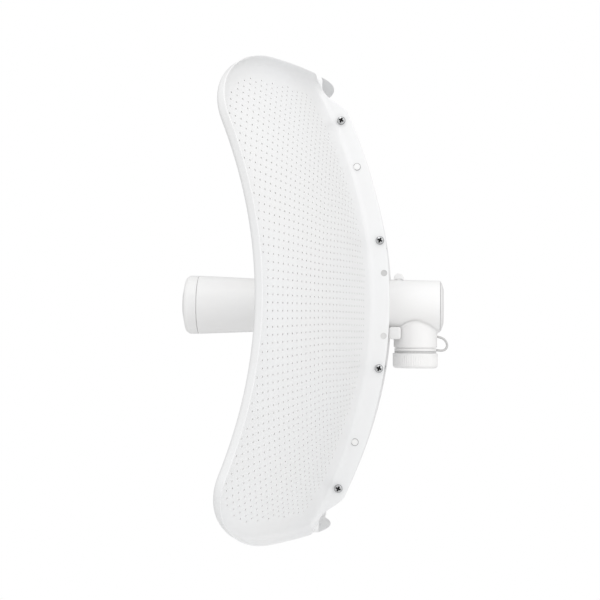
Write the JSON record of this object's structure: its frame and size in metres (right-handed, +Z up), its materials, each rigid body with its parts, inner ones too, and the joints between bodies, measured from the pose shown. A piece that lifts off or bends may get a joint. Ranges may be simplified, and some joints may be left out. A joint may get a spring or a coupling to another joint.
{
  "type": "parabolic dish antenna",
  "caption": "Rectangular parabolic dish antenna in three bolted panels, with a feed tube in front and a round housing with a capped cable port behind.",
  "frame": {"origin": "on the flat rear face of the hub ring behind the dish, 29 mm above the dish's axis, where a pole bracket clamps", "axes": "-Y along the dish's axis, the way it looks; +Y backwards; +X to the wing that faces the viewer; +Z up"},
  "size_m": [0.5242, 0.2401, 0.397],
  "materials": {
    "white_panel": "white powder coat, satin",
    "white_plastic": "moulded, satin",
    "grey_plastic": "moulded, matt",
    "steel": "plain",
    "seal": "light grey silicone, matt"
  },
  "bodies": {
    "root": {"cap_strap": "white_plastic", "centre_panel": "white_panel", "far_nut_1": "steel", "far_nut_2": "steel", "far_nut_3": "steel", "far_nut_4": "steel", "far_peg_lower": "white_panel", "far_peg_upper": "white_panel", "far_plug_lower": "grey_plastic", "far_plug_upper": "grey_plastic", "far_screw_1": "steel", "far_screw_2": "steel", "far_screw_3": "steel", "far_screw_4": "steel", "far_wing": "white_panel", "feed_cap": "white_plastic", "feed_tube": "white_plastic", "hub_latch_far": "white_plastic", "hub_latch_near": "white_plastic", "hub_ring": "white_plastic", "near_nut_1": "steel", "near_nut_2": "steel", "near_nut_3": "steel", "near_nut_4": "steel", "near_peg_lower": "white_panel", "near_peg_upper": "white_panel", "near_plug_lower": "grey_plastic", "near_plug_upper": "grey_plastic", "near_screw_1": "steel", "near_screw_2": "steel", "near_screw_3": "steel", "near_screw_4": "steel", "near_wing": "white_panel", "port_cap": "white_plastic", "port_neck": "white_plastic", "port_seal": "seal", "rear_end_cap": "white_plastic", "rear_housing": "white_plastic", "strap_ring": "white_plastic", "top_lug": "white_plastic"}
  },
  "joints": []
}
